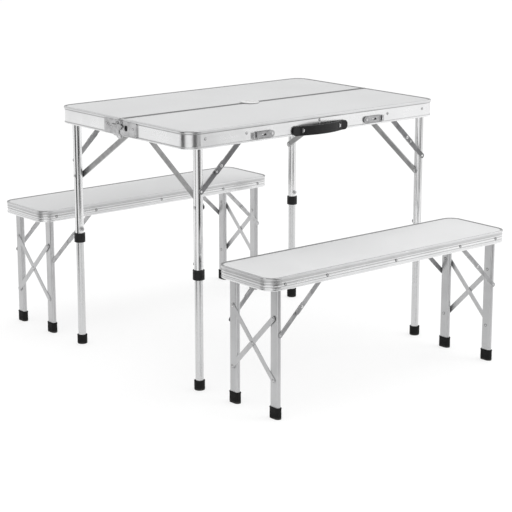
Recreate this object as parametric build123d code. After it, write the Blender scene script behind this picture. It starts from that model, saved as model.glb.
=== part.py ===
from build123d import *
import math
import os

# Folding picnic table set: a suitcase-type folding table and two loose folding
# benches.  Millimetres.  X runs along the table, +Y is the back, +Z is up.  The
# origin is on the ground under the middle of the table.  Front is -Y, left is -X.

# ---- driving dimensions -------------------------------------------------
TABLE_L, TABLE_W, TABLE_H = 900.0, 600.0, 700.0
APRON = 47.0                 # depth of the table's rim
RIM_R = 42.0                 # outer corner radius of the table
SEAM = 0.6                   # half of the gap between the two table halves
LIP = 7.0                    # width of the rim's lip over the board
BOARD_TOP, BOARD_BOTTOM = 1.2, 5.0   # depth of the board's faces below the rim top
REBATE = 0.2                 # the board's edge is thinned by this under the lips
WALL_IN = 3.6                # inner face of the rim wall, from the outside
WALL_OUT = 2.4               # flat outer face of the rim wall, from the outside
HINGE_Z = TABLE_H - APRON - 1.0      # axis that joins the two halves
HOLE_R = 20.0                # umbrella hole
CAP_R = 27.0

LEG_X = TABLE_L / 2 - 47.0   # table leg axis
LEG_Y = TABLE_W / 2 - 22.0
LEG_Z = 667.0                # fold axis of the table legs
TUBE_R, TUBE_BORE = 12.5, 11.3
TUBE_TOP, TUBE_BOTTOM = LEG_Z + 9.0, 306.0
INNER_R, INNER_WALL = 11.0, 1.2
INNER_TOP = 375.0
FOOT_R, FOOT_H = 14.3, 27.0
BUTTON_Z = 343.0
PIN_R = 3.0
FIT = 0.05                   # radial running clearance
BRACE_A, BRACE_B = 127.0, 135.0      # leg pivot below the axis, panel pivot along X
SIDE_DROP = 170.0            # side brace foot below the fold axis
SIDE_END = 14.0              # side brace head, from the seam
LINK_W, LINK_T = 15.0, 2.0

BENCH_L, BENCH_W, BENCH_H = 868.0, 220.0, 374.0
BENCH_APRON = 33.0
BENCH_R = 40.0
BENCH_LEG_X = BENCH_L / 2 - 44.0
BENCH_LEG_Y = BENCH_W / 2 - 29.0
BENCH_LEG_Z = BENCH_H - 19.0
BLEG_W, BLEG_T = 32.0, 14.0
BROD_R = 4.0
BOOT_H = 30.0
BBRACE_A, BBRACE_B = 134.0, 142.0
CROSS_TOP, CROSS_BOTTOM = 263.0, 101.0
FRONT_BENCH = (-6.0, -501.0)         # where the benches stand
BACK_BENCH = (-16.0, 513.0)

OUT = {}


def block(x0, y0, z0, x1, y1, z1):
    return Pos((x0 + x1) / 2, (y0 + y1) / 2, (z0 + z1) / 2) * Box(
        abs(x1 - x0), abs(y1 - y0), abs(z1 - z0))


def rod(p, q, r):
    """Cylinder from p to q."""
    v = Vector(*q) - Vector(*p)
    pl = Plane(origin=p, z_dir=v)
    return pl * extrude(Circle(r), v.length)


def dome(p, n, r, h):
    """Rivet head: low dome standing on p along n."""
    pl = Plane(origin=p, z_dir=n)
    body = extrude(Circle(r), h)
    edge = body.edges().filter_by(GeomType.CIRCLE).sort_by(Axis.Z)[-1]
    return pl * fillet(edge, min(h, r) * 0.8)


def link(p, q, y0, y1, w, holes=(), hole_r=PIN_R + FIT):
    """Flat bar with round ends in an XZ plane.  p and q are (x, z)."""
    dx, dz = q[0] - p[0], q[1] - p[1]
    n = math.hypot(dx, dz)
    sk = Pos(n / 2, 0) * SlotCenterToCenter(n, w)
    for d in holes:
        sk -= Pos(d, 0) * Circle(hole_r)
    pl = Plane(origin=(p[0], min(y0, y1), p[1]), x_dir=(dx, 0, dz), z_dir=(0, 1, 0))
    return pl * extrude(sk, abs(y1 - y0))


def bar_yz(p, q, x0, x1, w):
    """Flat bar with round ends in a YZ plane.  p and q are (y, z)."""
    dy, dz = q[0] - p[0], q[1] - p[1]
    n = math.hypot(dy, dz)
    sk = Pos(n / 2, 0) * SlotCenterToCenter(n, w)
    pl = Plane(origin=(min(x0, x1), p[0], p[1]), x_dir=(0, dy, dz), z_dir=(1, 0, 0))
    return pl * extrude(sk, abs(x1 - x0))


def two_links(a, b):
    """Lengths of the leg-side and panel-side links of a folding brace that is
    straight with the leg down and flat along the panel with the leg folded."""
    s, d = math.hypot(a, b), b - a
    return (s - d) / 2, (s + d) / 2


def fuse(parts):
    out = parts[0]
    for p in parts[1:]:
        out = out + p
    return out


def put(name, *shapes):
    solids = []
    for s in shapes:
        solids += list(s.solids())
    OUT[name] = Compound(children=solids) if len(solids) > 1 else solids[0]


# ---- rims and boards -----------------------------------------------------
def profile(points, top):
    return make_face(Polyline(*[(u, top - d) for u, d in points], close=True))


TABLE_PROFILE = [
    (LIP, 0), (1.5, 0), (0.45, 0.45), (0, 1.5), (0, 5.4), (0.8, 6.6), (WALL_OUT, 7.4),
    (WALL_OUT, 41.6), (1.3, 42.6), (1.0, 44.4), (1.5, 46.2), (2.4, APRON), (WALL_IN, APRON),
    (WALL_IN, 6.4), (12, 6.4), (12, BOARD_BOTTOM), (3, BOARD_BOTTOM), (3, BOARD_TOP),
    (LIP, BOARD_TOP)]
SEAM_PROFILE = [
    (5, 0), (0.4, 0), (0, 0.4), (0, APRON), (1.4, APRON), (1.4, 6.4), (9, 6.4),
    (9, BOARD_BOTTOM), (1.2, BOARD_BOTTOM), (1.2, BOARD_TOP), (5, BOARD_TOP)]
BENCH_PROFILE = [
    (6, 0), (1.3, 0), (0.35, 0.4), (0, 1.4), (0, 4.8), (0.6, 5.9), (2.0, 6.6), (2.0, 11.0),
    (1.1, 11.8), (1.1, 14.2), (2.0, 15.0), (2.0, 27.6), (1.0, 28.6), (0.8, 31.0), (1.6, BENCH_APRON),
    (3.2, BENCH_APRON), (3.2, 6.4), (8, 6.4), (8, BOARD_BOTTOM), (2.8, BOARD_BOTTOM),
    (2.8, BOARD_TOP), (6, BOARD_TOP)]


def side(prof, start, inward, along, length):
    return Plane(origin=start, x_dir=inward, z_dir=along) * extrude(prof, length)


def corner(prof, start, inward, along, centre, arc):
    face = Plane(origin=start, x_dir=inward, z_dir=along) * prof
    return revolve(face, axis=Axis((centre[0], centre[1], 0), (0, 0, 1)), revolution_arc=arc)


def table_half_rim():
    """Front half, with its seam at y = -SEAM."""
    L, W, R = TABLE_L / 2, TABLE_W / 2, RIM_R
    p = profile(TABLE_PROFILE, TABLE_H)
    s = profile(SEAM_PROFILE, TABLE_H)
    rim = fuse([
        side(p, (-L + R, -W, 0), (0, 1, 0), (1, 0, 0), 2 * (L - R)),
        side(p, (-L, -SEAM, 0), (1, 0, 0), (0, -1, 0), W - R - SEAM),
        side(p, (L, -W + R, 0), (-1, 0, 0), (0, 1, 0), W - R - SEAM),
        corner(p, (-L, -W + R, 0), (1, 0, 0), (0, -1, 0), (-L + R, -W + R), 90),
        corner(p, (L - R, -W, 0), (0, 1, 0), (1, 0, 0), (L - R, -W + R), 90),
        side(s, (L - WALL_IN + 0.6, -SEAM, 0), (0, -1, 0), (-1, 0, 0), 2 * (L - WALL_IN + 0.6)),
    ])
    rim -= Pos(0, 0, TABLE_H - APRON / 2) * Cylinder(HOLE_R, APRON + 2)
    # mouths of the end locks, behind the dark window of each hinge leaf
    for sx in (-1, 1):
        rim -= block(sx * (L - 1), -35.5, TABLE_H - 31, sx * (L - 6), -22.5, TABLE_H - 15.5)
    return rim


def table_half_board():
    L, W, R = TABLE_L / 2, TABLE_W / 2, RIM_R
    i = 3.0
    sk = RectangleRounded(2 * (L - i), 2 * (W - i), R - i)
    slab = Pos(0, 0, TABLE_H - BOARD_BOTTOM) * extrude(sk, BOARD_BOTTOM - BOARD_TOP - REBATE)
    slab = slab & block(-L, -W, TABLE_H - 20, L, -SEAM - 1.2, TABLE_H + 1)
    slab -= Pos(0, 0, TABLE_H) * Cylinder(HOLE_R, 30)
    # the face between the lips, clear of the cap's flange
    j = LIP + 0.3
    face = Pos(0, 0, TABLE_H - BOARD_TOP - REBATE - 0.5) * extrude(
        RectangleRounded(2 * (L - j), 2 * (W - j), R - j), REBATE + 0.5)
    face = face & block(-L, -W, TABLE_H - 20, L, -SEAM - 5.3, TABLE_H + 1)
    face -= Pos(0, 0, TABLE_H) * Cylinder(CAP_R + 0.5, 30)
    return slab + face


front_rim = table_half_rim()
front_board = table_half_board()
flip = Plane.XZ        # the back half mirrors the front half
put("front_rim", front_rim)
put("front_board", front_board)
put("back_rim", mirror(front_rim, about=flip))
put("back_board", mirror(front_board, about=flip))


# ---- fixed fittings of one half -------------------------------------------
def half_fittings(front):
    """Leg brackets, brace pins, rivets and end hinge leaves, built on the
    front half (y < 0) and mirrored for the back one."""
    out = []
    under = TABLE_H - 6.4        # under the rim's inner flange
    for sx in (-1, 1):
        x = sx * LEG_X
        # leg bracket: base plate under the board and two ears, with its pin
        y_out, y_in = -LEG_Y - TUBE_R, -LEG_Y + TUBE_R
        br = fuse([
            block(x - 14, y_out - 2.2, under - 2, x + 14, y_in + 2.2, under),
            block(x - 11, y_out - 2.2, LEG_Z - 9, x + 11, y_out - 0.4, under),
            block(x - 11, y_in + 0.4, LEG_Z - 9, x + 11, y_in + 2.2, under)])
        br -= rod((x, y_out - 5, LEG_Z), (x, y_in + 5, LEG_Z), PIN_R)
        out += [br, rod((x, y_out - 2.2, LEG_Z), (x, y_in + 2.2, LEG_Z), PIN_R)]
        # bracket of the side brace's head, next to the seam, with its pin
        y1, y0 = -SIDE_END + 8.4, -SIDE_END - 8.4
        br = fuse([
            block(x - 12, y0 - 2, under - 2, x + 12, y1 + 3, under),
            block(x - 9, y1, LEG_Z - 9, x + 9, y1 + 3, under)])
        br -= rod((x, y0 - 5, LEG_Z), (x, y1 + 5, LEG_Z), PIN_R)
        # headed pin, held in the one ear, so the bar can swing past its free end
        out += [br, rod((x, y0 - 1, LEG_Z), (x, y1 + 3, LEG_Z), PIN_R) +
                rod((x, y0 - 2, LEG_Z), (x, y0 - 0.4, LEG_Z), 5.0)]
        # pin of the folding brace, on the inside of the long rim wall
        px = sx * (LEG_X - BRACE_B)
        out.append(rod((px, -TABLE_W / 2 + WALL_IN, LEG_Z),
                       (px, -LEG_Y - TUBE_R - 2.6, LEG_Z), PIN_R))
    # rivets along the long side
    yf = -TABLE_W / 2 + WALL_OUT
    xs = (-393, -256, 0, 256, 393)
    for x in xs:
        out.append(dome((x, yf, TABLE_H - 22), (0, -1, 0), 2.6, 1.3))
    return out


def end_leaf(sx, front):
    """End hinge leaf with its knuckle ear.  The front leaf lies flat on the
    rim, the back leaf's ear laps over it."""
    L = TABLE_L / 2
    x0 = sx * L
    t = 1.5
    s = -1 if front else 1
    # the front leaf reaches a little over the seam, above the back half's rim
    y0, y1 = (-75.0, 12.0) if front else (13.5, 72.0)
    sk = Rectangle(y1 - y0, 41)
    leaf = Plane(origin=(x0 if sx > 0 else x0 - t, (y0 + y1) / 2, TABLE_H - 24.5),
                 x_dir=(0, 1, 0), z_dir=(1, 0, 0)) * extrude(fillet(sk.vertices(), 2), t)
    xe0 = x0 if front else x0 + sx * (t + 0.4)
    ear = fuse([
        block(xe0, s * 2.0, HINGE_Z - 4, xe0 + sx * t, s * 12, HINGE_Z + 16),
        rod((xe0, 0, HINGE_Z), (xe0 + sx * t, 0, HINGE_Z), 7.0)])
    if not front:
        ear += block(xe0, 2.0, HINGE_Z, xe0 + sx * t, 26, HINGE_Z + 22)
        # the joggle that carries the ear over the front leaf
        leaf += block(x0, 15, HINGE_Z + 4, x0 + sx * (2 * t + 0.4), 26, HINGE_Z + 22)
        ear -= rod((x0 - sx * 5, 0, HINGE_Z), (x0 + sx * 12, 0, HINGE_Z), PIN_R + FIT)
    leaf = leaf + ear
    if front:
        # the pin's seat
        leaf -= rod((x0 - sx * 5, 0, HINGE_Z), (x0 + sx * 12, 0, HINGE_Z), PIN_R)
        win = Plane(origin=(x0 - sx * 3, -29, TABLE_H - 23.2), x_dir=(0, 1, 0),
                    z_dir=(1, 0, 0)) * extrude(fillet(Rectangle(12, 14.5).vertices(), 4), 20, both=True)
        leaf -= win
    return leaf


def leaf_parts(front):
    out = []
    L = TABLE_L / 2
    for sx in (-1, 1):
        leaf = end_leaf(sx, front)
        out.append(leaf)
        xf = sx * (L + 1.5)
        if front:
            out.append(rod((sx * L, 0, HINGE_Z), (sx * (L + 3.6), 0, HINGE_Z), PIN_R))
            out.append(dome((xf, -60, TABLE_H - 22), (sx, 0, 0), 2.6, 1.3))
            out.append(dome((xf, -68, TABLE_H - 38), (sx, 0, 0), 2.2, 1.0))
            # stud that the lock lever drops on
            out.append(rod((xf, -10, TABLE_H - 23.5), (sx * (L + 6.0), -10, TABLE_H - 23.5), 2.2))
        else:
            out.append(dome((xf, 62, TABLE_H - 20), (sx, 0, 0), 2.6, 1.3))
            out.append(dome((xf, 52, TABLE_H - 20), (sx, 0, 0), 2.0, 1.0))
            # lever pivot
            out.append(rod((xf, 34, TABLE_H - 23.5), (sx * (L + 5.6), 34, TABLE_H - 23.5), 2.4))
            out.append(dome((sx * (L + 5.6), 34, TABLE_H - 23.5), (sx, 0, 0), 4.0, 1.4))
    return out


fixed = half_fittings(True)
front_only = leaf_parts(True)
# latch pivots and keepers, handle pins
LATCH_X, LATCH_Z, LATCH_LEN, LATCH_W = 172.0, TABLE_H - 31.0, 52.0, 18.0
yf = -TABLE_W / 2 + WALL_OUT
for sx in (-1, 1):
    front_only.append(rod((sx * LATCH_X, yf, LATCH_Z), (sx * LATCH_X, yf - 2.7, LATCH_Z), 7.0))
    front_only.append(rod((sx * LATCH_X, yf - 2.7, LATCH_Z), (sx * LATCH_X, yf - 5.0, LATCH_Z), 2.0))
    front_only.append(dome((sx * LATCH_X, yf - 5.0, LATCH_Z), (0, -1, 0), 3.6, 1.2))
    front_only.append(block(sx * 230.5, yf, LATCH_Z - 9, sx * 237.0, yf - 5.2, LATCH_Z + 8))
put("front_fittings", *fixed, *front_only)
put("back_fittings", *[mirror(s, about=flip) for s in fixed], *leaf_parts(False))

# ---- carrying handle: flat black strap with a bowed grip -------------------
HZ0, HZ1 = TABLE_H - 48.0, TABLE_H - 22.0
y_in, y_out = -TABLE_W / 2 - 0.2, -TABLE_W / 2 - 3.8
with BuildPart() as hb:
    with BuildSketch(Plane.XY.offset(HZ0)):
        with BuildLine():
            Line((-98, y_in), (-74, y_in))
            ThreePointArc((-74, y_in), (0, y_in - 15), (74, y_in))
            Line((74, y_in), (98, y_in))
            Line((98, y_in), (98, y_out))
            Line((98, y_out), (76, y_out))
            ThreePointArc((76, y_out), (0, y_out - 15), (-76, y_out))
            Line((-76, y_out), (-98, y_out))
            Line((-98, y_out), (-98, y_in))
        make_face()
    extrude(amount=HZ1 - HZ0)
    fillet([e for e in hb.edges().filter_by(Axis.Y) if abs(e.center().X) > 97], 11)
handle = hb.part
pins = []
for sx in (-1, 1):
    slot = Plane(origin=(sx * 66, y_out + 0.6, (HZ0 + HZ1) / 2), x_dir=(0, 0, 1), z_dir=(0, -1, 0)) * \
        extrude(SlotOverall(15, 4.4), 12, both=True)
    handle -= slot
    # steel loop through the strap, standing on the rim
    pins.append(Plane(origin=(sx * 66, yf, (HZ0 + HZ1) / 2 + 1.0), x_dir=(0, 0, 1), z_dir=(0, -1, 0)) *
                extrude(SlotOverall(12.6, 3.4), 8.6))
put("handle", handle)
put("front_fittings", *fixed, *front_only, *pins)

# ---- latches and end lock levers --------------------------------------------
for sx, nm in ((-1, "left"), (1, "right")):
    sk = Pos(LATCH_LEN / 2, 0) * Rectangle(LATCH_LEN, LATCH_W) + Circle(LATCH_W / 2)
    sk -= Circle(2.0 + FIT)
    sk -= Pos(LATCH_LEN * 0.55, 0) * SlotOverall(16, 5)
    pl = Plane(origin=(sx * LATCH_X, yf - 2.9, LATCH_Z), x_dir=(sx, 0, 0), z_dir=(0, -1, 0))
    strap = pl * extrude(sk, 1.7)
    curl = rod((sx * (LATCH_X + LATCH_LEN), yf - 4.1, LATCH_Z - LATCH_W / 2),
               (sx * (LATCH_X + LATCH_LEN), yf - 4.1, LATCH_Z + LATCH_W / 2), 1.9)
    put("latch_" + nm, strap + curl)

    L = TABLE_L / 2
    x1 = L + 3.8
    zc = TABLE_H - 23.5
    # lever: pivot eye on the back leaf, hook over the stud, thumb loop on top
    sk = Pos(17, 0) * Rectangle(34, 12) + Pos(34, 0) * Circle(7) + Pos(-7, 0) * Rectangle(16, 12)
    sk -= Pos(34, 0) * Circle(2.4 + FIT)
    # hook over the stud, open along the stud's path as the halves fold and as the lever lifts
    sk -= Pos(-10, 0) * Circle(3.2)
    sk -= make_face(Polyline((-11.3, 2.9), (-17, 0.9), (-17, -8), (-6.4, -8), (-6.8, 0), (-10, 0.5), close=True))
    sk += Pos(1, 12.5) * (Rectangle(22, 14) - Rectangle(14.5, 8))
    pl = Plane(origin=(x1 if sx > 0 else -x1 - 1.7, 0, zc), x_dir=(0, 1, 0), z_dir=(1, 0, 0))
    put("lock_lever_" + nm, pl * extrude(sk, 1.7))

# ---- umbrella hole cap -------------------------------------------------------
cap = Pos(0, 0, TABLE_H + 0.3) * extrude(Circle(CAP_R), 2.4)
cap = fillet(cap.edges().filter_by(GeomType.CIRCLE).sort_by(Axis.Z)[-1], 1.6)
plug = Pos(0, 0, TABLE_H - 11.7) * extrude(Circle(HOLE_R - 0.6) - Circle(HOLE_R - 2.6), 12.0)
put("umbrella_cap", cap + plug)


# ---- table legs -------------------------------------------------------------
def table_leg(sx, sy, nm):
    x, y = sx * LEG_X, sy * LEG_Y
    # fluted upper tube
    sk = Circle(TUBE_R)
    for k in range(10):
        a = math.radians(18 + 36 * k)
        sk -= Pos((TUBE_R + 0.9) * math.cos(a), (TUBE_R + 0.9) * math.sin(a)) * Circle(1.5)
    sk -= Circle(TUBE_BORE)
    tube = Pos(x, y, TUBE_BOTTOM) * extrude(sk, TUBE_TOP - TUBE_BOTTOM)
    tube -= rod((x, y - 20, LEG_Z), (x, y + 20, LEG_Z), PIN_R + FIT)
    # hole for the snap button, on the side that faces the middle of the table
    tube -= rod((x, y, BUTTON_Z), (x, y - sy * 20, BUTTON_Z), 4.4)
    # pin of the folding brace, blind, on the outside of the tube
    yo = y + sy * TUBE_R
    pin = rod((x, yo - sy * 0.9, LEG_Z - BRACE_A), (x, yo + sy * 2.3, LEG_Z - BRACE_A), PIN_R)
    tube = tube + pin
    # side brace: flat bar on the inner X face, its head turned round the fold axis
    xi = x - sx * TUBE_R
    x_in = xi - sx * 3.0
    foot = (y, LEG_Z - SIDE_DROP)
    head = (sy * SIDE_END, LEG_Z)
    bar = bar_yz(foot, head, xi, x_in, 16.0)
    eye = rod((x, head[0] - 7.6, LEG_Z), (x, head[0] + 7.6, LEG_Z), 6.0)
    web = block(x, head[0] - 7.6, LEG_Z - 5, x_in, head[0] + 7.6, LEG_Z + 5)
    bar = bar & block(x - 60, sy * (SIDE_END - 7.6), 0, x + 60, sy * 400, 800)
    bar = (bar + eye + web) - rod((x, head[0] - 20, LEG_Z), (x, head[0] + 20, LEG_Z), PIN_R + FIT)
    riv = dome((x_in, foot[0], foot[1]), (-sx, 0, 0), 4.0, 1.6)
    riv2 = dome((x + sx * (TUBE_R - 0.25), foot[0], foot[1]), (sx, 0, 0), 3.6, 1.6)
    put(nm + "_leg", tube, bar, riv, riv2)
    # collar at the bottom of the upper tube, and the button's grommet
    collar = Pos(x, y, 303) * extrude(Circle(15.5), 27)
    collar = fillet(collar.edges().filter_by(GeomType.CIRCLE), 1.5)
    collar -= Pos(x, y, TUBE_BOTTOM) * extrude(Circle(TUBE_R), 40)
    collar -= Pos(x, y, 300) * extrude(Circle(TUBE_BORE), 10)
    yb = y - sy * (TUBE_R - 1.0)
    grommet = rod((x, yb, BUTTON_Z), (x, y - sy * (TUBE_R + 1.6), BUTTON_Z), 6.4)
    grommet -= rod((x, y, BUTTON_Z), (x, y - sy * 20, BUTTON_Z), 4.0 + FIT)
    grommet -= Pos(x, y, 300) * extrude(Circle(TUBE_R), 80)
    put(nm + "_leg_collar", collar, grommet)
    button = rod((x, y - sy * (TUBE_R + 0.5), BUTTON_Z), (x, y - sy * (TUBE_R + 2.6), BUTTON_Z), 4.0)
    button += dome((x, y - sy * (TUBE_R + 2.6), BUTTON_Z), (0, -sy, 0), 4.0, 1.4)
    put(nm + "_snap_button", button)
    # sliding lower tube and its foot
    low = Pos(x, y, 4) * extrude(Circle(INNER_R) - Circle(INNER_R - INNER_WALL), INNER_TOP - 4)
    put(nm + "_lower_tube", low)
    boot = extrude(Circle(FOOT_R), FOOT_H)
    boot = fillet(boot.edges().filter_by(GeomType.CIRCLE).sort_by(Axis.Z)[0], 2.0)
    boot = fillet(boot.edges().filter_by(GeomType.CIRCLE).sort_by(Axis.Z)[-1], 1.0)
    boot -= Pos(0, 0, 4) * extrude(Circle(INNER_R), 40)
    put(nm + "_foot", Pos(x, y, 0) * boot)
    # folding brace: leg-side link inside, panel-side link outside
    low_len, up_len = two_links(BRACE_A, BRACE_B)
    p1 = (x, LEG_Z - BRACE_A)
    pp = (x - sx * BRACE_B, LEG_Z)
    n = math.hypot(pp[0] - p1[0], pp[1] - p1[1])
    m = (p1[0] + (pp[0] - p1[0]) * low_len / n, p1[1] + (pp[1] - p1[1]) * low_len / n)
    y1, y2 = yo + sy * 0.3, yo + sy * 2.3
    # the leg-side link runs on past the middle joint to a stop tongue
    ll = link(p1, (p1[0] + (pp[0] - p1[0]) * (low_len + 10) / n, p1[1] + (pp[1] - p1[1]) * (low_len + 10) / n),
              y1, y2, LINK_W, holes=(0,))
    put(nm + "_brace_lower", ll)
    y1, y2 = yo + sy * 2.6, yo + sy * 4.6
    lap = (m[0] - (pp[0] - p1[0]) * 20 / n, m[1] - (pp[1] - p1[1]) * 20 / n)
    ul = link(pp, lap, y1, y2, LINK_W, holes=(0,))
    r1 = dome((m[0], y2, m[1]), (0, sy, 0), 4.2, 0.8)
    r2 = dome((lap[0], y2, lap[1]), (0, sy, 0), 2.8, 0.7)
    put(nm + "_brace_upper", ul, r1, r2)


for sx, sy, nm in ((-1, -1, "front_left"), (1, -1, "front_right"), (-1, 1, "back_left"), (1, 1, "back_right")):
    table_leg(sx, sy, nm)


# ---- benches ------------------------------------------------------------------
def bench(cx, cy, nm):
    L, W, R, H = BENCH_L / 2, BENCH_W / 2, BENCH_R, BENCH_H
    at = Pos(cx, cy, 0)
    p = profile(BENCH_PROFILE, H)
    rim = fuse([
        side(p, (-L + R, -W, 0), (0, 1, 0), (1, 0, 0), 2 * (L - R)),
        side(p, (L - R, W, 0), (0, -1, 0), (-1, 0, 0), 2 * (L - R)),
        side(p, (-L, W - R, 0), (1, 0, 0), (0, -1, 0), 2 * (W - R)),
        side(p, (L, -W + R, 0), (-1, 0, 0), (0, 1, 0), 2 * (W - R)),
        corner(p, (-L, -W + R, 0), (1, 0, 0), (0, -1, 0), (-L + R, -W + R), 90),
        corner(p, (L - R, -W, 0), (0, 1, 0), (1, 0, 0), (L - R, -W + R), 90),
        corner(p, (L, W - R, 0), (-1, 0, 0), (0, 1, 0), (L - R, W - R), 90),
        corner(p, (-L + R, W, 0), (0, -1, 0), (-1, 0, 0), (-L + R, W - R), 90)])
    board = Pos(0, 0, H - BOARD_BOTTOM) * extrude(
        RectangleRounded(2 * (L - 2.8), 2 * (W - 2.8), R - 2.8), BOARD_BOTTOM - BOARD_TOP - REBATE)
    board += Pos(0, 0, H - BOARD_TOP - REBATE - 0.5) * extrude(
        RectangleRounded(2 * (L - 6.3), 2 * (W - 6.3), R - 6.3), REBATE + 0.5)
    put(nm + "_seat", at * board)
    fit = []
    under = H - BOARD_BOTTOM
    for sx in (-1, 1):
        x = sx * BENCH_LEG_X
        yo = BENCH_LEG_Y + BLEG_W / 2
        yi = BENCH_LEG_Y - BLEG_W / 2
        shaft = rod((x, -yo - 3.0, BENCH_LEG_Z), (x, yo + 3.0, BENCH_LEG_Z), BROD_R)
        for sy in (-1, 1):
            br = fuse([
                block(x - 10, sy * (yi - 2.4), under - 1.6, x + 10, sy * (yo + 2.4), under),
                block(x - 9, sy * (yo + 0.5), BENCH_LEG_Z - 7, x + 9, sy * (yo + 2.2), under),
                block(x - 9, sy * (yi - 2.2), BENCH_LEG_Z - 7, x + 9, sy * (yi - 0.5), under)])
            br -= rod((x, -yo - 9, BENCH_LEG_Z), (x, yo + 9, BENCH_LEG_Z), BROD_R)
            fit.append(at * br)
            px = sx * (BENCH_LEG_X - BBRACE_B)
            fit.append(at * rod((px, sy * (W - 3.2), BENCH_LEG_Z), (px, sy * (yo + 2.6), BENCH_LEG_Z), PIN_R))
        fit.append(at * shaft)
    for sy in (-1, 1):
        for x in (-382, -242, 0, 242, 382):
            fit.append(at * dome((x, sy * (W - 2.0), H - 19), (0, sy, 0), 2.6, 1.3))
    put(nm + "_rim", at * rim, *fit)

    for sx, sd in ((-1, "left"), (1, "right")):
        x = sx * BENCH_LEG_X
        parts, feet, ups, lows = [], [], [], []
        for sy in (-1, 1):
            y = sy * BENCH_LEG_Y
            sk = SlotOverall(BLEG_W, BLEG_T) - SlotOverall(BLEG_W - 2.6, BLEG_T - 2.6)
            leg = Pos(x, y, 4) * extrude(Rot(0, 0, 90) * sk, BENCH_LEG_Z + 8 - 4)
            leg -= rod((x, y - 30, BENCH_LEG_Z), (x, y + 30, BENCH_LEG_Z), BROD_R + FIT)
            yo = y + sy * BLEG_W / 2
            leg += rod((x, yo - sy * 1.0, BENCH_LEG_Z - BBRACE_A), (x, yo + sy * 2.3, BENCH_LEG_Z - BBRACE_A), PIN_R)
            parts.append(leg)
            boot = extrude(Rot(0, 0, 90) * SlotOverall(BLEG_W + 4.4, BLEG_T + 4.4), BOOT_H)
            boot -= Pos(0, 0, 4) * extrude(Rot(0, 0, 90) * SlotOverall(BLEG_W, BLEG_T), BOOT_H)
            feet.append(Pos(x, y, 0) * boot)
            a, b = BBRACE_A, BBRACE_B
            low_len, up_len = two_links(a, b)
            p1 = (x, BENCH_LEG_Z - a)
            pp = (x - sx * b, BENCH_LEG_Z)
            n = math.hypot(pp[0] - p1[0], pp[1] - p1[1])
            ux, uz = (pp[0] - p1[0]) / n, (pp[1] - p1[1]) / n
            m = (p1[0] + ux * low_len, p1[1] + uz * low_len)
            lows.append(at * link(p1, (m[0] + ux * 7, m[1] + uz * 7), yo + sy * 0.3, yo + sy * 2.3, 12.5, holes=(0,)))
            lap = (m[0] - ux * 18, m[1] - uz * 18)
            ups.append(at * link(pp, lap, yo + sy * 2.6, yo + sy * 4.6, 13.0, holes=(0,)))
            ups.append(at * dome((m[0], yo + sy * 4.6, m[1]), (0, sy, 0), 3.8, 1.0))
        # crossed flat bars on the outer faces of the two legs
        xo = x + sx * BLEG_T / 2
        e = BENCH_LEG_Y
        parts.append(bar_yz((-e, CROSS_BOTTOM), (e, CROSS_TOP), xo, xo + sx * 1.8, 14.0))
        second = bar_yz((-e, CROSS_TOP), (e, CROSS_BOTTOM), xo + sx * 1.8, xo + sx * 3.6, 14.0)
        parts.append(second)
        for sy in (-1, 1):
            parts.append(dome((xo + sx * 1.8, sy * e, CROSS_TOP if sy > 0 else CROSS_BOTTOM), (sx, 0, 0), 3.4, 1.0))
            parts.append(rod((xo, sy * e, CROSS_BOTTOM if sy > 0 else CROSS_TOP),
                             (xo + sx * 1.8, sy * e, CROSS_BOTTOM if sy > 0 else CROSS_TOP), 5.0))
            parts.append(dome((xo + sx * 3.6, sy * e, CROSS_BOTTOM if sy > 0 else CROSS_TOP), (sx, 0, 0), 3.4, 1.0))
        parts.append(dome((xo + sx * 3.6, 0, (CROSS_TOP + CROSS_BOTTOM) / 2), (sx, 0, 0), 3.8, 1.2))
        put(nm + "_" + sd + "_legs", *[at * s for s in parts])
        put(nm + "_" + sd + "_feet", *[at * s for s in feet])
        put(nm + "_" + sd + "_brace_lower", *lows)
        put(nm + "_" + sd + "_brace_upper", *ups)


bench(*FRONT_BENCH, "front_bench")
bench(*BACK_BENCH, "back_bench")

# ---- export ---------------------------------------------------------------------
os.makedirs("parts", exist_ok=True)
for name, shape in OUT.items():
    export_step(shape, "parts/" + name + ".step")
print(len(OUT), "nodes")
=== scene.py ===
import bpy
import bmesh
import math
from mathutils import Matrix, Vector


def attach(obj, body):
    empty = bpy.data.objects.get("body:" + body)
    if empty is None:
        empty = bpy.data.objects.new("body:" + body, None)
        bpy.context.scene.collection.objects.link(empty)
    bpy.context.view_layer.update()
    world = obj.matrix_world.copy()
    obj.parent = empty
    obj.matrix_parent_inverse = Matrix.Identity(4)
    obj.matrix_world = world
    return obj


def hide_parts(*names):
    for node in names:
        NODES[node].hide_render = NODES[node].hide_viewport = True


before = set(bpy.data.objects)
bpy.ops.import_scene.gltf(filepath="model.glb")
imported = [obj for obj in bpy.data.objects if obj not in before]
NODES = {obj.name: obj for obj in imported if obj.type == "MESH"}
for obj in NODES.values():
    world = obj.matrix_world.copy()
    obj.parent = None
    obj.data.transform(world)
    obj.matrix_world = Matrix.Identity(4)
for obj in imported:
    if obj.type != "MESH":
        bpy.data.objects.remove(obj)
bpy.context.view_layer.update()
MM = 0.001

# ---------------------------------------------------------------- dimensions (mm)
TL, TW, TH = 900.0, 600.0, 700.0
APRON = 47.0
LEG_X, LEG_Y, LEG_Z = 403.0, 278.0, 667.0
TUBE_R = 12.5
BUTTON_Z = 343.0
BA, BB = 127.0, 135.0
BH = 374.0
BLX, BLY, BLZ = 390.0, 81.0, 355.0
BBA, BBB = 134.0, 142.0
BENCHES = {"front_bench": (-6.0, -501.0), "back_bench": (-16.0, 513.0)}
LEGS = {"front_left": (-1, -1), "front_right": (1, -1), "back_left": (-1, 1), "back_right": (1, 1)}


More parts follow.
